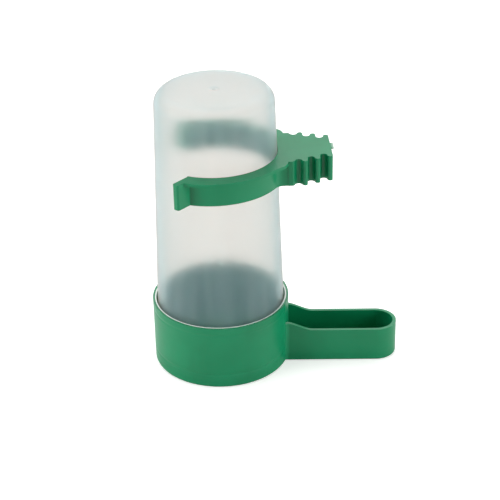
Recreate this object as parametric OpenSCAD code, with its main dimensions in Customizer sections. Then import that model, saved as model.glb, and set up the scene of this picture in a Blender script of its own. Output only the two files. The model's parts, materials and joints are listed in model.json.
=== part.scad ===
// Bird cage waterer: a frosted bottle stands upside down in a round cup with a drinking trough,
// and a ring clip with a notched tail holds it to the cage's wires.
// Millimetres. The origin is on the cup's axis, on its underside. +X runs along the trough.

/* [Cup and trough] */
// Outer diameter of the cup
cup_d = 40; // [30:0.5:60]
// Height of the cup
cup_h = 19.8; // [15:0.1:40]
// Thickness of the cup's and the trough's walls
wall = 1; // [0.8:0.1:2]
// Thickness of the floor
floor_t = 1.2; // [0.8:0.1:2.5]
// Radius along the lower outside edge
foot_round = 0.6; // [0.2:0.1:0.8]
// Height of the shelf that carries the bottle's mouth
shelf_h = 4.3; // [3:0.1:8]
// How far the shelf stands out from the cup's wall
shelf_w = 1.3; // [1:0.1:3]
// Width of the trough outside
trough_w = 12.1; // [9:0.1:20]
// From the cup's axis to the trough's far end
trough_reach = 52; // [45:0.5:80]
// Height of the trough's rim
rim_h = 10.5; // [9:0.1:12]
// How much higher the rim is where it meets the cup
rim_rise = 2.45; // [0:0.05:3]
// Length over which the rim rises
rise_run = 8.3; // [4:0.1:12]
// Radius of the hollow corner between the cup and the trough
corner_r = 1.8; // [0.5:0.1:4]
// Radius along the trough's floor inside
trough_round = 1; // [0.3:0.1:2]
// Width of the window between the cup and the trough
window_w = 8; // [5:0.5:9]
// Height of the window above the floor
window_h = 5.5; // [4:0.5:8]

/* [Bottle] */
// Height of the whole waterer, from the cup's underside to the bottle's top
overall_h = 85; // [75:1:140]
// Diameter of the bottle under its shoulder
bottle_top_d = 33.6; // [24:0.2:37]
// Radius of the shoulder
shoulder_r = 3.8; // [1.5:0.1:6]
// Thickness of the bottle's wall
bottle_wall = 0.9; // [0.6:0.1:1.2]
// Gap between the bottle and the cup, all round
bottle_gap = 0.4; // [0.3:0.05:0.6]
// Diameter of the moulding mark on the bottle's top
gate_d = 3.4; // [1:0.1:6]
// Depth of the moulding mark
gate_depth = 0.35; // [0.1:0.05:0.5]
// Diameter of the pip in the middle of the mark
pip_d = 0.7; // [0.4:0.1:0.9]

/* [Clip] */
// Height of the clip's top above the cup's underside
clip_top = 66.55; // [50:0.05:72]
// Turn of the clip's tail from the trough's direction
clip_turn = 4; // [-180:1:180]
// Height of the clip
clip_h = 7.45; // [5:0.05:12]
// Thickness of the arms' upright wall at their middle
web_t = 2.2; // [1.5:0.05:3]
// How far the wall's outside is set towards the lips, so that it grows thicker there
web_shift = 0.5; // [0:0.05:0.8]
// Thickness of the flange along the arms' top
flange_t = 0.9; // [0.6:0.1:2]
// Width of the arms' top with the flange, at their middle
arm_t = 4.1; // [3.5:0.05:6]
// How far the flange's outside is set towards the lips
arm_shift = 0.7; // [0:0.05:1.2]
// Gap between the bottle and the clip beside the tail
clip_gap = 0.15; // [0.1:0.05:0.5]
// How far the bottle springs the arms open
arm_spread = 0.4; // [0:0.1:0.8]
// Angle from the tail's direction to the end of each arm
arm_sweep = 115.3; // [100:0.1:130]
// Length of each lip
lip_len = 6.3; // [5:0.1:9]
// Thickness of each lip
lip_t = 2; // [1.4:0.1:3]
// Angle of each lip from the clip's middle line
lip_angle = 45; // [35:1:60]
// Radius of the lips' end corners
lip_round = 0.6; // [0.2:0.1:0.65]

/* [Tail] */
// Radius of the notches for the cage's wires
notch_r = 1.05; // [0.8:0.05:1.2]
// Distance from one notch to the next
notch_pitch = 3.6; // [3.2:0.02:5]
// Notches on each side
notch_count = 3; // [1:1:5]
// From the clip's centre to the first notch
notch_start = 22.5; // [22.2:0.1:26]
// Distance from the middle line to the first notch's floor
notch_floor = 8.2; // [7.8:0.05:9.2]
// How much nearer to the middle line each next notch lies
notch_step = 1.4; // [0:0.02:1.6]
// Distance from the middle line to the land in front of the first notch
land_y = 9.6; // [9.2:0.05:11]
// Length of the land, before its rounded corner
land_len = 1.1; // [0.6:0.05:1.3]
// Distance from the middle line to the first tooth's tip
tooth_tip = 9.7; // [9.4:0.05:11.5]
// How much nearer to the middle line each next tooth's tip lies
tooth_step = 1.22; // [0:0.02:1.3]
// How far the tail's side lies behind the land
side_step = 0.15; // [0.1:0.05:0.6]
// Radius of the hollow corner between the arms' wall and the tail's side
tail_corner = 3; // [1:0.1:4]
// Radius of the flange's end beside the land
flank_r = 4; // [2:0.1:5]
// Length of the moulding stub on the tail's end
stub_len = 0.8; // [0.2:0.1:2]
// Width of the moulding stub
stub_w = 3.3; // [1:0.1:5]
// Thickness of the moulding stub
stub_t = 0.4; // [0.3:0.1:1.5]

/* [Hidden] */
$fn = 96;
// Overshoot of a cut past the face that it opens
over = 1;
// How far a straight flank runs into the round that it meets
blend = 0.01;

cup_r = cup_d / 2;
cup_in_r = cup_r - wall;
trough_r = trough_w / 2;
trough_in_r = trough_r - wall;
trough_end = trough_reach - trough_r;
rise_steps = 16;

skirt_r = cup_in_r - bottle_gap;
top_r = bottle_top_d / 2;
shoulder_z = overall_h - shoulder_r;
taper = atan((skirt_r - top_r) / (shoulder_z - cup_h));

clip_z = clip_top - clip_h;
bore_low_r = bottle_r(clip_z) + clip_gap + arm_spread;
bore_top_r = bottle_r(clip_top) + clip_gap + arm_spread;
web_r = bore_top_r + web_t;
web_x = -arm_spread - web_shift;
flange_r = bore_top_r + arm_t;
flange_x = -arm_spread - arm_shift;
arm_end = [-arm_spread + bore_top_r * cos(arm_sweep), bore_top_r * sin(arm_sweep)];

tooth_r = notch_pitch / 2 - notch_r;
tooth_start = notch_start - notch_pitch / 2;
land_x = tooth_start - land_len;
side_y = land_y - side_step;
tail_end = tooth_start + notch_count * notch_pitch + tooth_r;
last = notch_count - 1;

// Outer radius of the bottle at a height above the cup
function bottle_r(z) = skirt_r - (skirt_r - top_r) * (z - cup_h) / (shoulder_z - cup_h);

// Height of the trough's rim at a distance from the cup's axis, as a smooth S
function rim_z(t) = rim_h + rim_rise * (1 - 3 * t * t + 2 * t * t * t);

// Centres of notch k and of tooth k on one side of the tail, where tooth 0 is the land's rounded corner
function notch_at(k) = [notch_start + k * notch_pitch, notch_floor + notch_r - k * notch_step];
function tip_y(k) = k == 0 ? land_y : tooth_tip - (k - 1) * tooth_step;
function tooth_at(k) = [tooth_start + k * notch_pitch, tip_y(k) - tooth_r];

// Direction square to the straight flank between a tooth's round and a notch's round
function flank_normal(way) =
    let(a = atan2(way.y, abs(way.x)) - asin((tooth_r + notch_r - 2 * blend) / norm(way)))
    [-sin(a) * sign(way.x), cos(a)];

// The flank of tooth k towards notch n: its end on the tooth, then its end in the notch
function flank_line(k, n) =
    let(normal = flank_normal(notch_at(n) - tooth_at(k)))
    [tooth_at(k) + (tooth_r - blend) * normal, notch_at(n) - (notch_r - blend) * normal];

// Half section of a round tub: an upright wall with a rounded lower edge
module tub_section(r, edge, h) {
    square([r - edge, h]);
    translate([0, edge]) square([r, h - edge]);
    translate([r - edge, edge]) circle(edge);
}

// A long tub from the cup's axis to its round far end, with a rounded lower edge
module tub(r, edge, h) {
    rotate([90, 0, 90]) linear_extrude(trough_end) {
        tub_section(r, edge, h);
        mirror([1, 0]) tub_section(r, edge, h);
    }
    translate([trough_end, 0, 0]) rotate(-90) rotate_extrude(angle = 180) tub_section(r, edge, h);
}

// Outline of the cup and the trough, with hollow corners where the trough's sides meet the cup
module outline() {
    y = trough_r + corner_r;
    x = sqrt(pow(cup_r + corner_r, 2) - y * y);
    touch = cup_in_r / (cup_r + corner_r);
    circle(cup_r);
    translate([0, -trough_r]) square([trough_end, trough_w]);
    translate([trough_end, 0]) circle(trough_r);
    for (side = [-1, 1])
        difference() {
            polygon([[x, side * y], [x * touch, side * y * touch],
                     [x * touch, side * trough_in_r], [x, side * trough_in_r]]);
            translate([x, side * y]) circle(corner_r);
        }
}

// The space above the trough's rim, outside the cup: the rim is an S seen from the side
module above_rim() {
    rise = [for (i = [0 : rise_steps]) [cup_in_r + rise_run * i / rise_steps, rim_z(i / rise_steps)]];
    top = cup_h + over;
    difference() {
        translate([0, cup_r, 0]) rotate([90, 0, 0]) linear_extrude(cup_d)
            polygon(concat([[cup_in_r, top]], rise, [[trough_reach + over, rim_h], [trough_reach + over, top]]));
        cylinder(r = cup_r, h = top + over);
    }
}

// The space inside the trough, which ends at the cup's wall
module trough_inside() {
    difference() {
        translate([0, 0, floor_t]) tub(trough_in_r, trough_round, cup_h);
        cylinder(r = cup_r, h = 2 * cup_h);
    }
}

module base() {
    color("#2f865c")
    difference() {
        union() {
            translate([0, 0, foot_round]) linear_extrude(cup_h - foot_round) outline();
            rotate_extrude() tub_section(cup_r, foot_round, foot_round * 2);
            tub(trough_r, foot_round, foot_round * 2);
        }
        above_rim();
        trough_inside();
        translate([0, 0, shelf_h]) cylinder(r = cup_in_r, h = cup_h);
        translate([0, 0, floor_t]) cylinder(r = cup_in_r - shelf_w, h = cup_h);
        translate([cup_in_r - shelf_w - wall, -window_w / 2, floor_t])
            cube([shelf_w + 3 * wall, window_w, window_h]);
    }
}

// Half section of the bottle's outside or inside, drawn in from the outer wall
module bottle_section(inset, low) {
    r = shoulder_r - inset;
    centre = [top_r - shoulder_r, shoulder_z];
    side = inset / cos(taper);
    polygon([[0, low], [skirt_r - side, low], [skirt_r - side, cup_h],
             [centre.x + r * cos(taper), centre.y + r * sin(taper)],
             centre, [centre.x, centre.y + r], [0, centre.y + r]]);
    translate(centre) circle(r);
}

module bottle() {
    dish_r = (pow(gate_d / 2, 2) + pow(gate_depth, 2)) / (2 * gate_depth);
    color("#e2e3e1", 0.55)
    rotate_extrude() {
        difference() {
            bottle_section(0, shelf_h);
            bottle_section(bottle_wall, shelf_h - over);
            translate([0, overall_h + dish_r - gate_depth]) circle(dish_r);
        }
        translate([0, overall_h - bottle_wall]) square([pip_d / 2, bottle_wall - gate_depth / 2]);
    }
}

// One lip: a bar that flares out from the end of an arm
module lip_outline() {
    translate(arm_end) rotate(180 - lip_angle) {
        translate([0, -lip_t]) square([lip_len - lip_round, lip_t]);
        translate([0, lip_round - lip_t]) square([lip_len, lip_t - 2 * lip_round]);
        for (y = [lip_round - lip_t, -lip_round])
            translate([lip_len - lip_round, y]) circle(lip_round);
    }
}

// Half of the tail: its side, the land, then a wave of notches and rounded teeth
module tail_outline() {
    wave = [for (k = [0 : last]) each [
        flank_line(k, k)[0], flank_line(k, k)[1], notch_at(k),
        flank_line(k + 1, k)[1], flank_line(k + 1, k)[0]]];
    tip = tooth_at(notch_count);
    difference() {
        union() {
            polygon(concat([[0, 0], [0, side_y], [land_x, side_y], [land_x, land_y], [tooth_start, land_y]],
                           wave, [[tail_end, tip.y], [tail_end, 0]]));
            for (k = [0 : notch_count]) translate(tooth_at(k)) circle(tooth_r);
        }
        for (k = [0 : last]) translate(notch_at(k)) circle(notch_r);
    }
}

// Half of the hollow corner between the arms' wall and the tail's side
module corner_outline() {
    y = side_y + tail_corner;
    x = sqrt(pow(web_r + tail_corner, 2) - y * y);
    inner = (web_r - web_t / 2) / (web_r + tail_corner);
    difference() {
        polygon([[web_x + x, y], [web_x + x * inner, y * inner],
                 [web_x + x * inner, side_y - 1], [web_x + x, side_y - 1]]);
        translate([web_x + x, y]) circle(tail_corner);
    }
}

// Half of the flange beside the tail: a straight flank that ends in a round at the land
module flange_outline() {
    centre = [land_x - flank_r, side_y];
    way = centre - [flange_x, 0];
    a = atan2(way.y, way.x) + acos((flange_r - flank_r) / norm(way));
    normal = [cos(a), sin(a)];
    polygon([[0, 0], [flange_x, 0] + (flange_r - blend) * normal, centre + (flank_r - blend) * normal,
             centre, [land_x, side_y], [land_x, 0]]);
    translate(centre) circle(flank_r);
}

// Outline of the clip below its flange, with no bore yet
module web_outline() {
    translate([web_x, 0]) circle(web_r);
    for (side = [0, 1]) mirror([0, side]) {
        tail_outline();
        corner_outline();
    }
}

// The space that the bottle and the clip's open side take from the ring
module clip_bore() {
    reach = 2 * flange_r;
    translate([-arm_spread, 0, 0]) cylinder(r1 = bore_low_r, r2 = bore_top_r, h = clip_h);
    linear_extrude(clip_h)
        polygon([[-arm_spread, 0], arm_end * 2, [-reach, arm_end.y * 2], [-reach, -arm_end.y * 2],
                 [arm_end.x * 2, -arm_end.y * 2]]);
}

module clip() {
    color("#2f865c")
    translate([0, 0, clip_z]) rotate(clip_turn) {
        difference() {
            union() {
                linear_extrude(clip_h - flange_t) web_outline();
                translate([0, 0, clip_h - flange_t]) linear_extrude(flange_t) {
                    web_outline();
                    translate([flange_x, 0]) circle(flange_r);
                    flange_outline();
                    mirror([0, 1]) flange_outline();
                }
            }
            clip_bore();
        }
        linear_extrude(clip_h) {
            lip_outline();
            mirror([0, 1]) lip_outline();
        }
        translate([tail_end - 1, -stub_w / 2, clip_h - stub_t]) cube([stub_len + 1, stub_w, stub_t]);
    }
}

base();
bottle();
clip();
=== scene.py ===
# %% [markdown]
# A bird cage waterer has three pieces. A frosted bottle stands upside down in a green cup with a long
# drinking trough, and a green ring clip round the bottle has a notched tail that grips the cage's wires.
# The solids of all three are already modelled in CAD. This lesson gives them the edges, the skins and
# the light that a photograph would show.
#
# Blender works in metres, and the waterer's own sizes are easier to read in millimetres. So the lesson
# says its sizes in millimetres and turns them into metres where they meet a mesh or a lamp.

# %% Load the modelled frame
import json
import math

import bmesh
import bpy
from mathutils import Matrix, Vector

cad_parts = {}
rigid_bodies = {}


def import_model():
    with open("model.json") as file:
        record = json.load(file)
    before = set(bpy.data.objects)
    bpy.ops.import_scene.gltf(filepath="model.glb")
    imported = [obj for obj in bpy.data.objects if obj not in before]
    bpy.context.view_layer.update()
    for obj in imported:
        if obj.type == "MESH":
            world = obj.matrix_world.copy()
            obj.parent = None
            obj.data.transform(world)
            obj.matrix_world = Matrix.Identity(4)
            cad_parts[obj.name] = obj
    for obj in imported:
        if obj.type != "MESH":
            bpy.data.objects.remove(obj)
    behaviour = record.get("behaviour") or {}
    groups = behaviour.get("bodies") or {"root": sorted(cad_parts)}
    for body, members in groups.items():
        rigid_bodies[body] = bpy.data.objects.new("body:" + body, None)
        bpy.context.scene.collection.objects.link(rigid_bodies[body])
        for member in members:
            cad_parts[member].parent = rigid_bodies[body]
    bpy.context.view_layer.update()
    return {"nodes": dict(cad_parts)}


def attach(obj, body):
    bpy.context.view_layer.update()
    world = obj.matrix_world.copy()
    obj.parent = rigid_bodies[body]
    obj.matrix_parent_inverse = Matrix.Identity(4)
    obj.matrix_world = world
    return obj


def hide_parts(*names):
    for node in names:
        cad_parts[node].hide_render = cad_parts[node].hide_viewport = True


for leftover in list(bpy.data.objects):
    bpy.data.objects.remove(leftover)
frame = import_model()
scene = bpy.context.scene
MM = 0.001

# %% [markdown]
# The camera comes first, because every choice of finish is judged through it. The photograph looks
# down on the waterer by about 29 degrees, almost straight across the trough, with a long lens from
# 415 mm away. The camera leans by a little over one degree. It aims beside the waterer, as the
# photographer left the bottle to the left of the picture's middle, so the lens needs no shift.

# %% Place the camera
PICTURE = 500  # width of the photograph in pixels
LENS_PIXELS = 1436.9  # focal length in pixels of the photograph
SENSOR_MM = 36
TURN, TILT, LEAN = math.radians(1.31), math.radians(28.97), math.radians(-1.26)
DISTANCE = 415.05 * MM
AIM = Vector((0, 0, 40 * MM))  # a point on the bottle's axis, and where it lies in the picture
AIM_PIXEL = (218.59, 233.45)

ahead = Vector((-math.sin(TURN) * math.cos(TILT), math.cos(TURN) * math.cos(TILT), -math.sin(TILT)))
level = Vector((math.cos(TURN), math.sin(TURN), 0))
above = level.cross(ahead)
right = level * math.cos(LEAN) + above * math.sin(LEAN)
up = above * math.cos(LEAN) - level * math.sin(LEAN)
aside = (AIM_PIXEL[0] - PICTURE / 2) / LENS_PIXELS * DISTANCE
below = (AIM_PIXEL[1] - PICTURE / 2) / LENS_PIXELS * DISTANCE

camera_data = bpy.data.cameras.new("camera")
camera_data.sensor_fit = "HORIZONTAL"
camera_data.sensor_width = SENSOR_MM
camera_data.lens = LENS_PIXELS * SENSOR_MM / PICTURE
camera_data.clip_start = 10 * MM
camera = bpy.data.objects.new("camera", camera_data)
scene.collection.objects.link(camera)
stand = AIM - ahead * DISTANCE - right * aside + up * below
camera.matrix_world = Matrix.Translation(stand) @ Matrix((right, up, -ahead)).transposed().to_4x4()
scene.camera = camera
print("camera at", [round(value / MM, 1) for value in stand], "mm, lens", round(camera_data.lens, 1), "mm")

# %% [markdown]
# Two helpers serve every finish. One turns a colour as it is written on a web page into the linear
# values that a shader takes. The other adds one node to a tree, sets its own properties and fills its
# sockets, each with a value or with a link from another node.

# %% Helpers for colours and nodes
def linear(hex_colour):
    """An sRGB colour such as #2F865C as the linear red, green, blue and alpha of a socket."""
    parts = [int(hex_colour[i:i + 2], 16) / 255 for i in (1, 3, 5)]
    parts = [part / 12.92 if part <= 0.04045 else ((part + 0.055) / 1.055) ** 2.4 for part in parts]
    return (*parts, 1)


def add_node(tree, kind, inputs=(), **settings):
    """Adds a node. inputs maps a socket's name or number to a value or to another node's output."""
    node = tree.nodes.new(kind)
    for name, value in settings.items():
        setattr(node, name, value)
    for name, value in dict(inputs).items():
        if isinstance(value, bpy.types.NodeSocket):
            tree.links.new(value, node.inputs[name])
        else:
            node.inputs[name].default_value = value
    return node


# %% [markdown]
# The cup and the clip are injection moulded in green polypropylene. The mould's faces were spark
# eroded, which leaves a satin skin: soft, wide highlights, a grain finer than the eye resolves, and
# faint clouds where the melt flowed. Where the plastic was stretched or snapped, on the stub at the
# clip's tail, it turns pale. The pale ring along the cup's thin inner lip is a painted highlight.
#
# The grain is about 0.1 mm on the real skin. It is drawn three times as coarse here, or it would not
# show at all. Where a wall inside meets the cup's side, the thicker plastic shrinks more as it cools
# and draws a faint ring in. Texture coordinates are the object's own, so the patterns stay put when a
# piece moves.

# %% Green polypropylene
GREEN = "#088255"
GREEN_CLOUD = "#0B895B"
# The pale colour below is stretched plastic on the clip's stub, and a painted highlight along the cup's inner
# lip.
STRESS_WHITE_AND_HIGHLIGHT = "#F0FAF3"
POLYPROPYLENE_IOR = 1.49
SATIN_LOW, SATIN_HIGH = 0.26, 0.34  # roughness from grain to grain
SATIN_SPECULAR = 0.42  # a clean, even surface has 0.5
CUP_R, CUP_MM, CUP_WALL_MM = 20.0, 19.8, 1.0
SHELF_MM = 4.3  # height of the ledge inside the cup, on which the bottle's mouth stands
LIP_ROOT_MM = 17.5  # height at which the cup's lip starts
LIP_WIDE_MM, LIP_HIGH_MM = 0.38, 0.2  # the pale ring along the top of the cup's bore
CLOUDS, WAVES, GRAINS = 0.09, 0.22, 3.2  # how many per mm of flow clouds, waves in the wall and grains
WAVE_MM, GRAIN_MM = 0.03, 0.006  # how high the waves and the grains stand
SINK_MM, SINK_REACH_MM = 0.08, 0.7  # how deep a sink ring is, and how far it reaches up and down


def green_polypropylene(name, sink_heights=()):
    """Satin green skin. The cup's has sink rings at heights in mm, and a pale lip that is a painted
    highlight.
    """
    material = bpy.data.materials.new(name)
    material.use_nodes = True
    tree = material.node_tree
    tree.nodes.clear()
    place = add_node(tree, "ShaderNodeTexCoord").outputs["Object"]
    in_mm = add_node(tree, "ShaderNodeVectorMath", {0: place, "Scale": 1 / MM}, operation="SCALE").outputs[0]

    clouds = add_node(tree, "ShaderNodeTexNoise", {
        "Vector": in_mm, "Scale": CLOUDS, "Detail": 2.0}).outputs[0]
    grain = add_node(tree, "ShaderNodeTexNoise", {"Vector": in_mm, "Scale": GRAINS, "Detail": 2.0}).outputs[0]
    waves = add_node(tree, "ShaderNodeTexNoise", {"Vector": in_mm, "Scale": WAVES, "Detail": 1.0}).outputs[0]
    cloud_share = add_node(tree, "ShaderNodeMapRange", {0: clouds, 1: 0.35, 2: 0.65}).outputs[0]
    body = add_node(tree, "ShaderNodeMix", {0: cloud_share, 6: linear(GREEN), 7: linear(GREEN_CLOUD)},
                    data_type="RGBA").outputs[2]
    if sink_heights:
        parts = add_node(tree, "ShaderNodeSeparateXYZ", {0: in_mm}).outputs
        flat = add_node(tree, "ShaderNodeCombineXYZ", {0: parts["X"], 1: parts["Y"]}).outputs[0]
        reach = add_node(tree, "ShaderNodeVectorMath", {0: flat}, operation="LENGTH").outputs["Value"]
        # The pale ring along the top of the cup's bore is a painted highlight: the bright line that the lip's
        # rounded inner edge catches, painted into the colour.
        near_bore = add_node(tree, "ShaderNodeMath", {
            0: reach, 1: CUP_R - CUP_WALL_MM + LIP_WIDE_MM}, operation="LESS_THAN").outputs[0]
        near_top = add_node(tree, "ShaderNodeMath", {
            0: parts["Z"], 1: CUP_MM - LIP_HIGH_MM}, operation="GREATER_THAN").outputs[0]
        pale = add_node(tree, "ShaderNodeMath", {0: near_bore, 1: near_top}, operation="MULTIPLY").outputs[0]
    else:
        pale = add_node(tree, "ShaderNodeAttribute", attribute_name="pale").outputs["Fac"]
    colour = add_node(tree, "ShaderNodeMix", {0: pale, 6: body, 7: linear(STRESS_WHITE_AND_HIGHLIGHT)},
                      data_type="RGBA").outputs[2]
    gloss = add_node(tree, "ShaderNodeMapRange", {0: grain, 3: SATIN_LOW, 4: SATIN_HIGH}).outputs[0]

    height = add_node(tree, "ShaderNodeMath", {0: waves, 1: WAVE_MM}, operation="MULTIPLY").outputs[0]
    fine = add_node(tree, "ShaderNodeMath", {0: grain, 1: GRAIN_MM}, operation="MULTIPLY").outputs[0]
    height = add_node(tree, "ShaderNodeMath", {0: height, 1: fine}, operation="ADD").outputs[0]
    if sink_heights:
        on_wall = add_node(tree, "ShaderNodeMath", {
            0: reach, 1: CUP_R, 2: 0.3}, operation="COMPARE").outputs[0]
        for level_mm in sink_heights:
            away = add_node(tree, "ShaderNodeMath", {
                0: parts["Z"], 1: level_mm}, operation="SUBTRACT").outputs[0]
            away = add_node(tree, "ShaderNodeMath", {0: away}, operation="ABSOLUTE").outputs[0]
            dip = add_node(tree, "ShaderNodeMapRange", {
                0: away, 1: 0.0, 2: SINK_REACH_MM, 3: -SINK_MM, 4: 0.0},
                interpolation_type="SMOOTHSTEP").outputs[0]
            dip = add_node(tree, "ShaderNodeMath", {0: dip, 1: on_wall}, operation="MULTIPLY").outputs[0]
            height = add_node(tree, "ShaderNodeMath", {0: height, 1: dip}, operation="ADD").outputs[0]
    bump = add_node(tree, "ShaderNodeBump", {"Height": height, "Distance": MM, "Strength": 1.0}).outputs[0]
    skin = add_node(tree, "ShaderNodeBsdfPrincipled", {
        "Base Color": colour, "Roughness": gloss, "IOR": POLYPROPYLENE_IOR,
        "Specular IOR Level": SATIN_SPECULAR, "Normal": bump})
    add_node(tree, "ShaderNodeOutputMaterial", {"Surface": skin.outputs[0]})
    return material


cup_skin = green_polypropylene("green_polypropylene_cup", sink_heights=(SHELF_MM, LIP_ROOT_MM))
clip_skin = green_polypropylene("green_polypropylene_clip")
print("green skins:", cup_skin.name, clip_skin.name)

# %% [markdown]
# The bottle is thin natural polypropylene with a frosted skin. It lets most light through but turns
# each ray a little, so a thing that touches the wall stays readable and a thing far behind it melts
# into a soft patch. The cloudy plastic also throws a share of the light back, as thin milk does, and
# that share is bluish: a dark thing behind the wall looks blue through it, and white stays white.
#
# The wall is modelled with its real thickness, and each side has a skin of its own. Both are
# Principled shaders that are mostly rough transmission. The inside has a wide bluish sheen, which is
# the milky veil. The outside has a narrow warm sheen, which whitens the bottle's edges, where the eye
# looks along the skin. The real plastic's IOR is 1.49, but two frosted skins with that value turned
# the edges dark, as on glass. So it is less here.

# %% Frosted polypropylene
MILKY_OUTSIDE = "#E0F4F4"
WARM_INSIDE = "#FFDCD4"  # what comes through is a little warm, so that white stays white under the veil
EDGE_BLOOM = (0.5, 0.35, "#FFD6C8")  # weight, roughness and tint of a sheen
MILKY_VEIL = (0.33, 1.0, "#A8F0FF")
BOTTLE_IOR = 1.22
FROST_LOW, FROST_HIGH = 0.28, 0.31  # roughness. Across 0.274 the denoiser draws lines round the streaks
STREAKS, STREAK_SHARE = 0.25, 0.02  # how many per mm, and how much clearer or milkier the wall is in one
STREAK_STRETCH, STREAK_HIGH_MM = 0.04, 0.02  # a streak is 25 times as tall as wide, and hardly stands out


def frosted_polypropylene(name, colour, see_through, sheen):
    """A milky, see-through skin with faint upright streaks. see_through is the share of light let in."""
    sheen_weight, sheen_roughness, sheen_tint = sheen
    material = bpy.data.materials.new(name)
    material.use_nodes = True
    tree = material.node_tree
    tree.nodes.clear()
    place = add_node(tree, "ShaderNodeTexCoord").outputs["Object"]
    streaks_at = add_node(tree, "ShaderNodeMapping", {
        "Vector": place, "Scale": (1 / MM, 1 / MM, STREAK_STRETCH / MM)}).outputs[0]
    streaks = add_node(tree, "ShaderNodeTexNoise", {
        "Vector": streaks_at, "Scale": STREAKS, "Detail": 2.0}).outputs[0]
    gloss = add_node(tree, "ShaderNodeMapRange", {
        0: streaks, 1: 0.3, 2: 0.7, 3: FROST_LOW, 4: FROST_HIGH}).outputs[0]
    clear = add_node(tree, "ShaderNodeMapRange", {
        0: streaks, 1: 0.38, 2: 0.62,
        3: see_through + STREAK_SHARE, 4: see_through - STREAK_SHARE}).outputs[0]
    bump = add_node(tree, "ShaderNodeBump", {
        "Height": streaks, "Distance": STREAK_HIGH_MM * MM, "Strength": 1.0}).outputs[0]
    skin = add_node(tree, "ShaderNodeBsdfPrincipled", {
        "Base Color": linear(colour), "Roughness": gloss, "IOR": BOTTLE_IOR,
        "Transmission Weight": clear, "Normal": bump,
        "Sheen Weight": sheen_weight, "Sheen Roughness": sheen_roughness, "Sheen Tint": linear(sheen_tint)})
    add_node(tree, "ShaderNodeOutputMaterial", {"Surface": skin.outputs[0]})
    return material


bottle_outside = frosted_polypropylene("frosted_polypropylene_outside", MILKY_OUTSIDE, 0.9, EDGE_BLOOM)
bottle_inside = frosted_polypropylene("frosted_polypropylene_inside", WARM_INSIDE, 0.98, MILKY_VEIL)
print("bottle skins:", bottle_outside.name, bottle_inside.name)

# %% [markdown]
# A bottle is a shape of revolution: one outline, turned about an axis. That is a rule, so Geometry
# Nodes make it. The outline is a chain of corners from the mark on the closed end, down the outside,
# round the mouth and up the inside. Each corner carries the radius of its rounding. The tree rounds
# the corners, lays the outline's points out as the rows of a grid, and bends the grid's columns round
# the axis. Its inputs are the number of steps round the bottle and the number in each rounded corner.

# %% The bottle's outline
OVERALL_MM = 85.0
BOTTLE_LOW_R, BOTTLE_TOP_R = 18.6, 16.8
SHOULDER_R = 3.8
WALL_MM = 0.9
MARK_R, MARK_DEEP, PIP_R = 1.7, 0.25, 0.35  # the mould's mark on the closed end, and the pip in it

shoulder_z = OVERALL_MM - SHOULDER_R
lean = math.atan((BOTTLE_LOW_R - BOTTLE_TOP_R) / (shoulder_z - CUP_MM))


def side_r(z, inset=0.0):
    """Radius of the tapered side at height z, or of its inside, which lies inset further in."""
    reach = (BOTTLE_TOP_R - SHOULDER_R) * math.cos(lean) + shoulder_z * math.sin(lean) + SHOULDER_R - inset
    return (reach - z * math.sin(lean)) / math.cos(lean)


def mark_z(r):
    """Height of the shallow dish that the mould's valve left in the closed end."""
    return OVERALL_MM - MARK_DEEP * (1 - (r / MARK_R) ** 2)


inside_top = OVERALL_MM - WALL_MM
pip_top = OVERALL_MM - MARK_DEEP / 2
bottle_corners = [  # radius and height, then the rounding
    (0, pip_top, 0), (PIP_R, pip_top, 0.08), (PIP_R, mark_z(PIP_R), 0.08),
    (0.8, mark_z(0.8), 0.5), (1.25, mark_z(1.25), 0.5), (MARK_R, OVERALL_MM, 0.35),
    (side_r(OVERALL_MM), OVERALL_MM, SHOULDER_R), (BOTTLE_LOW_R, CUP_MM, 2.0),
    (BOTTLE_LOW_R, SHELF_MM, 0.3), (BOTTLE_LOW_R - WALL_MM, SHELF_MM, 0.3),
    (BOTTLE_LOW_R - WALL_MM, CUP_MM, 2.0),
    (side_r(inside_top, WALL_MM), inside_top, SHOULDER_R - WALL_MM), (0, inside_top, 0)]

outline_mesh = bpy.data.meshes.new("bottle_outline")
outline_mesh.from_pydata([(r * MM, 0, z * MM) for r, z, _ in bottle_corners],
                         [(i, i + 1) for i in range(len(bottle_corners) - 1)], [])
rounding = outline_mesh.attributes.new("rounding", "FLOAT", "POINT")
rounding.data.foreach_set("value", [radius * MM for _, _, radius in bottle_corners])
print("outline corners", len(bottle_corners), "radius at the top", round(side_r(OVERALL_MM), 2), "mm")

# %% The tree that turns an outline about the axis
lathe = bpy.data.node_groups.new("turned outline", "GeometryNodeTree")
sockets = {}
for label, kind in (
        ("Outline", "Geometry"), ("Steps round", "Int"), ("Steps in a corner", "Int"),
        ("Outside skin", "Material"), ("Inside skin", "Material")):
    socket = lathe.interface.new_socket(name=label, in_out="INPUT", socket_type="NodeSocket" + kind)
    sockets[label] = socket.identifier
lathe.interface.new_socket(name="Bottle", in_out="OUTPUT", socket_type="NodeSocketGeometry")

given = add_node(lathe, "NodeGroupInput").outputs
chain = add_node(lathe, "GeometryNodeMeshToCurve", {"Mesh": given["Outline"]}).outputs[0]
radii = add_node(lathe, "GeometryNodeInputNamedAttribute", {"Name": "rounding"}, data_type="FLOAT").outputs[0]
rounded = add_node(lathe, "GeometryNodeFilletCurve", {
    "Curve": chain, "Count": given["Steps in a corner"], "Radius": radii}, mode="POLY").outputs[0]
rows = add_node(lathe, "GeometryNodeAttributeDomainSize", {
    0: rounded}, component="CURVE").outputs["Point Count"]
columns = add_node(lathe, "FunctionNodeIntegerMath", {
    0: given["Steps round"], 1: 1}, operation="ADD").outputs[0]
grid = add_node(lathe, "GeometryNodeMeshGrid", {"Vertices X": columns, "Vertices Y": rows}).outputs[0]
number = add_node(lathe, "GeometryNodeInputIndex").outputs[0]
row = add_node(lathe, "FunctionNodeIntegerMath", {0: number, 1: rows}, operation="MODULO").outputs[0]
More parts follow.
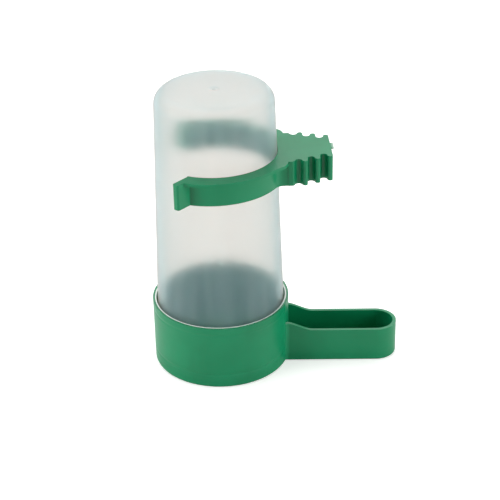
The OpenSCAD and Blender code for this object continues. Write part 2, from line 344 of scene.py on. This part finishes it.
column = add_node(lathe, "FunctionNodeIntegerMath", {0: number, 1: rows}, operation="DIVIDE").outputs[0]
spot = add_node(lathe, "GeometryNodeInputPosition").outputs[0]
sample = add_node(lathe, "GeometryNodeSampleIndex", data_type="FLOAT_VECTOR", domain="POINT")
lathe.links.new(rounded, sample.inputs["Geometry"])
lathe.links.new(spot, sample.inputs["Value"])
lathe.links.new(row, sample.inputs["Index"])
corner = add_node(lathe, "ShaderNodeSeparateXYZ", {0: sample.outputs[0]}).outputs
turn = add_node(lathe, "ShaderNodeMath", {0: column, 1: given["Steps round"]}, operation="DIVIDE").outputs[0]
angle = add_node(lathe, "ShaderNodeMath", {0: turn, 1: math.tau}, operation="MULTIPLY").outputs[0]
cosine = add_node(lathe, "ShaderNodeMath", {0: angle}, operation="COSINE").outputs[0]
sine = add_node(lathe, "ShaderNodeMath", {0: angle}, operation="SINE").outputs[0]
east = add_node(lathe, "ShaderNodeMath", {0: corner["X"], 1: cosine}, operation="MULTIPLY").outputs[0]
north = add_node(lathe, "ShaderNodeMath", {0: corner["X"], 1: sine}, operation="MULTIPLY").outputs[0]
turned = add_node(lathe, "ShaderNodeCombineXYZ", {0: east, 1: north, 2: corner["Z"]}).outputs[0]
bent = add_node(lathe, "GeometryNodeSetPosition", {"Geometry": grid, "Position": turned}).outputs[0]
closed = add_node(lathe, "GeometryNodeMergeByDistance", {
    "Geometry": bent, "Distance": 0.002 * MM}).outputs[0]  # joins the seam and the two poles
outward = add_node(lathe, "GeometryNodeFlipFaces", {"Mesh": closed}).outputs[0]
smooth = add_node(lathe, "GeometryNodeSetShadeSmooth", {"Geometry": outward}).outputs[0]
real = add_node(lathe, "GeometryNodeRealizeInstances", {"Geometry": smooth}).outputs[0]
skinned = add_node(lathe, "GeometryNodeSetMaterial", {
    "Geometry": real, "Material": given["Outside skin"]}).outputs[0]

# A face is on the inside if it looks at the axis and not up, as the mark's rim does, or looks down.
facing = add_node(lathe, "GeometryNodeInputNormal").outputs[0]
spoke = add_node(lathe, "ShaderNodeVectorMath", {0: spot, 1: (1, 1, 0)}, operation="MULTIPLY").outputs[0]
outwards = add_node(lathe, "ShaderNodeVectorMath", {
    0: facing, 1: spoke}, operation="DOT_PRODUCT").outputs["Value"]
rise = add_node(lathe, "ShaderNodeSeparateXYZ", {0: facing}).outputs["Z"]
inwards = add_node(lathe, "ShaderNodeMath", {0: outwards, 1: 0.0}, operation="LESS_THAN").outputs[0]
not_up = add_node(lathe, "ShaderNodeMath", {0: rise, 1: 0.2}, operation="LESS_THAN").outputs[0]
down = add_node(lathe, "ShaderNodeMath", {0: rise, 1: -0.7}, operation="LESS_THAN").outputs[0]
inside = add_node(lathe, "ShaderNodeMath", {0: inwards, 1: not_up}, operation="MULTIPLY").outputs[0]
inside = add_node(lathe, "ShaderNodeMath", {0: inside, 1: down}, operation="MAXIMUM").outputs[0]
skinned = add_node(lathe, "GeometryNodeSetMaterial", {
    "Geometry": skinned, "Selection": inside, "Material": given["Inside skin"]}).outputs[0]
add_node(lathe, "NodeGroupOutput", {"Bottle": skinned})
print("nodes in the lathe tree", len(lathe.nodes))

# %% [markdown]
# Every piece ends as a plain mesh with nothing live on it. One helper takes what the modifiers made,
# as the evaluated object holds it, and gives it back to the object as its own mesh. A second one
# measures a closed mesh: its volume is positive only if the faces point outwards.

# %% Helpers that finish and measure a mesh
def settle(piece):
    """Turns what the piece's modifiers made into its own plain mesh, and removes the modifiers."""
    bpy.context.view_layer.update()
    made = bpy.data.meshes.new_from_object(piece.evaluated_get(bpy.context.evaluated_depsgraph_get()))
    piece.modifiers.clear()
    piece.data = made
    made.name = piece.name
    return made


def measure(piece):
    """Prints a piece's size and volume, and how many of its edges don't lie between two faces."""
    shape = bmesh.new()
    shape.from_mesh(piece.data)
    loose = sum(len(edge.link_faces) != 2 for edge in shape.edges)
    spread = [max(v.co[i] for v in shape.verts) - min(v.co[i] for v in shape.verts) for i in range(3)]
    volume = round(shape.calc_volume(signed=True) / MM ** 3, 1)
    print(piece.name, "mm", [round(s / MM, 2) for s in spread], "mm3", volume,
          "faces", len(shape.faces), "open edges", loose)
    shape.free()


# %% Turn the bottle
STEPS_ROUND, STEPS_IN_CORNER = 176, 8
bottle = bpy.data.objects.new("frosted_bottle", outline_mesh)
scene.collection.objects.link(bottle)
turning = bottle.modifiers.new("turn the outline", "NODES")
turning.node_group = lathe
turning[sockets["Steps round"]] = STEPS_ROUND
turning[sockets["Steps in a corner"]] = STEPS_IN_CORNER
turning[sockets["Outside skin"]] = bottle_outside
turning[sockets["Inside skin"]] = bottle_inside
settle(bottle)
measure(bottle)

# %% [markdown]
# The cup and the clip have the right shape in CAD already, but their edges are knife sharp, and no
# moulding has such edges. A sharp edge in the mould is always broken by a few tenths of a millimetre,
# and that narrow round is what catches the light and draws the outline of every face. So each is a
# copy of its solid with the loose triangles joined, the flat faces made whole, and a Bevel modifier on
# every edge that turns by more than 35 degrees. Weighted normals keep the flat faces flat to the eye.

# %% Round the edges of the mouldings
JOIN_MM = 0.001
FLAT, SHARP = math.radians(0.4), math.radians(35)  # turns that still count as flat, and already as sharp


def soft_edged(node, name, skin, radius):
    """A copy of a modelled node whose sharp edges are rounded to a radius in mm."""
    mesh = frame["nodes"][node].data.copy()
    if "custom_normal" in mesh.attributes:
        mesh.attributes.remove(mesh.attributes["custom_normal"])
    shape = bmesh.new()
    shape.from_mesh(mesh)
    bmesh.ops.remove_doubles(shape, verts=shape.verts, dist=JOIN_MM * MM)
    bmesh.ops.dissolve_limit(shape, angle_limit=FLAT, verts=shape.verts, edges=shape.edges)
    for face in shape.faces:
        face.smooth = True
    shape.to_mesh(mesh)
    shape.free()
    mesh.materials.clear()
    mesh.materials.append(skin)
    piece = bpy.data.objects.new(name, mesh)
    scene.collection.objects.link(piece)
    rounds = piece.modifiers.new("break the edges", "BEVEL")
    rounds.width = radius * MM
    rounds.segments = 3
    rounds.limit_method = "ANGLE"
    rounds.angle_limit = SHARP
    normals = piece.modifiers.new("keep the faces flat", "WEIGHTED_NORMAL")
    normals.keep_sharp = True
    settle(piece)
    return piece


base = soft_edged("base", "green_cup_and_trough", cup_skin, 0.28)
measure(base)
clip = soft_edged("clip", "green_ring_clip", clip_skin, 0.22)
measure(clip)

# %% [markdown]
# Stretched plastic turns pale. A number on each point says how pale it is, and the skin's shader reads
# that number, so the pale place follows the mesh. It is the stub on the clip's tail, where the
# moulding was snapped from its runner. The cup's pale lip is a painted highlight in the same colour. It is a
# plain ring, so its shader finds it itself.

# %% Pale places
CLIP_TURN = math.radians(4)
STUB_FROM_MM = 32.4  # along the tail, from the ring's middle
STUB_PALENESS = 0.5


def paint_pale(piece, amount_at):
    """Writes the pale attribute: amount_at takes a point in mm and gives 0 for none to 1 for full."""
    pale = piece.data.attributes.new("pale", "FLOAT", "POINT")
    pale.data.foreach_set("value", [amount_at(vertex.co / MM) for vertex in piece.data.vertices])


def stub_pale(point):
    along = point.x * math.cos(CLIP_TURN) + point.y * math.sin(CLIP_TURN)
    return STUB_PALENESS if along > STUB_FROM_MM else 0.0


paint_pale(clip, stub_pale)
print("pale points on the clip", sum(value.value > 0 for value in clip.data.attributes["pale"].data))

# %% [markdown]
# The waterer stands on a plain pale floor in a white room. A room lights a thing evenly from all
# sides, and three wide lamps add a little direction. The camera and the bottle's wall see the world in
# full white, but as light on surfaces it is weaker: so the background is white and the plastics keep
# the colours that they were given. The satin skins mirror the side of the room where the photographer
# stands, and that side was dim, so from there the world throws no light on them. One helper tells the
# two kinds of ray apart, for the world and then for the floor.

# %% World
ROOM_LIGHT = 0.42  # how bright the white room is to surfaces that it lights
DARK_TO, LIGHT_FROM = -0.6, -0.2  # where the dim side ends and the bright one starts, -1 being in front


def seen_directly(tree):
    """1 for a ray from the camera or through the bottle's wall, 0 for a ray that lights a surface."""
    rays = add_node(tree, "ShaderNodeLightPath").outputs
    return add_node(tree, "ShaderNodeMath", {0: rays["Is Camera Ray"], 1: rays["Is Transmission Ray"]},
                    operation="MAXIMUM").outputs[0]


world = bpy.data.worlds.new("white room")
scene.world = world
world.use_nodes = True
room = world.node_tree
room.nodes.clear()
way = add_node(room, "ShaderNodeTexCoord").outputs["Generated"]
depth = add_node(room, "ShaderNodeSeparateXYZ", {0: way}).outputs["Y"]
around = add_node(room, "ShaderNodeMapRange", {
    0: depth, 1: DARK_TO, 2: LIGHT_FROM, 3: 0.0, 4: ROOM_LIGHT}).outputs[0]
strength = add_node(room, "ShaderNodeMath", {
    0: seen_directly(room), 1: around}, operation="MAXIMUM").outputs[0]
glow = add_node(room, "ShaderNodeBackground", {"Color": (1, 1, 1, 1), "Strength": strength})
add_node(room, "ShaderNodeOutputWorld", {"Surface": glow.outputs[0]})
print("the room's light on surfaces", ROOM_LIGHT)

# %% [markdown]
# The lamps are panels of light, wide enough for soft shadows. Only the plastics see them, as
# highlights. The camera and the bottle's wall don't, or a lamp would stand behind the waterer as a
# white square in a view from another side.

# %% Lamps
def soft_lamp(name, place_mm, size_mm, power):
    """A square lamp that faces the middle of the waterer."""
    data = bpy.data.lights.new(name, "AREA")
    data.shape = "SQUARE"
    data.size = size_mm * MM
    data.energy = power
    lamp = bpy.data.objects.new(name, data)
    scene.collection.objects.link(lamp)
    lamp.location = Vector(place_mm) * MM
    lamp.rotation_euler = (AIM - lamp.location).to_track_quat("-Z", "Y").to_euler()
    lamp.visible_camera = False
    lamp.visible_transmission = False
    print(name, "at", place_mm, "mm,", size_mm, "mm wide,", power, "W")


soft_lamp("overhead lamp", (-60, 300, 640), 1000, 5.5)
soft_lamp("left lamp", (-560, -260, 170), 360, 2.8)
soft_lamp("right lamp", (560, -260, 150), 360, 2.5)

# %% [markdown]
# The floor is matte paper. To the camera and through the bottle it glows a little, which brings it
# near white while the shadow under the waterer stays. Far from the lamps it would turn grey, so there
# it glows more. In front, where the room is dim, it is dim too for the light that it throws up.

# %% Floor
FLOOR_COLOUR = "#E4E4E2"
FLOOR_HALF = 3  # metres
GLOW_NEAR, GLOW_FAR = 0.52, 1.0
DIM_FRONT = 0.4  # the share of its colour that the floor's front keeps for the light it throws up
floor_mesh = bpy.data.meshes.new("floor")
ends = ((-1, -1), (1, -1), (1, 1), (-1, 1))
floor_mesh.from_pydata([(x * FLOOR_HALF, y * FLOOR_HALF, 0) for x, y in ends], [], [(0, 1, 2, 3)])
floor = bpy.data.objects.new("floor", floor_mesh)
scene.collection.objects.link(floor)
paper = bpy.data.materials.new("pale_paper")
paper.use_nodes = True
sheet = paper.node_tree
sheet.nodes.clear()
seen = seen_directly(sheet)
place = add_node(sheet, "ShaderNodeTexCoord").outputs["Object"]
away = add_node(sheet, "ShaderNodeVectorMath", {0: place}, operation="LENGTH").outputs["Value"]
glow = add_node(sheet, "ShaderNodeMapRange", {0: away, 1: 0.25, 2: 0.8, 3: GLOW_NEAR, 4: GLOW_FAR}).outputs[0]
lift = add_node(sheet, "ShaderNodeMath", {0: seen, 1: glow}, operation="MULTIPLY").outputs[0]
front = add_node(sheet, "ShaderNodeSeparateXYZ", {0: place}).outputs["Y"]
dim = add_node(sheet, "ShaderNodeMapRange", {0: front, 1: -0.36, 2: -0.12, 3: DIM_FRONT, 4: 1.0}).outputs[0]
dim = add_node(sheet, "ShaderNodeMath", {0: dim, 1: seen}, operation="MAXIMUM").outputs[0]
colour = add_node(sheet, "ShaderNodeMix", {0: dim, 6: (0, 0, 0, 1), 7: linear(FLOOR_COLOUR)},
                  data_type="RGBA").outputs[2]
matte = add_node(sheet, "ShaderNodeBsdfDiffuse", {"Color": colour})
lit = add_node(sheet, "ShaderNodeEmission", {"Strength": lift})
both = add_node(sheet, "ShaderNodeAddShader", {0: matte.outputs[0], 1: lit.outputs[0]})
add_node(sheet, "ShaderNodeOutputMaterial", {"Surface": both.outputs[0]})
floor_mesh.materials.append(paper)
print("floor", FLOOR_COLOUR, "sheet nodes", len(sheet.nodes))

# %% [markdown]
# The picture keeps its colours as they are, so the view transform is Standard. Each piece then takes
# the place of its solid and rides on the same body: the bottle lifts out of the cup, and the clip
# turns round the bottle.

# %% Put the pieces on their bodies
scene.view_settings.view_transform = "Standard"
for piece, body, slot in (
        (base, "base", "green_plastic"), (bottle, "bottle", "frosted_plastic"),
        (clip, "clip", "green_plastic")):
    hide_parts(body)
    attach(piece, body)
    print(piece.name, "rides on", body, "with", slot)
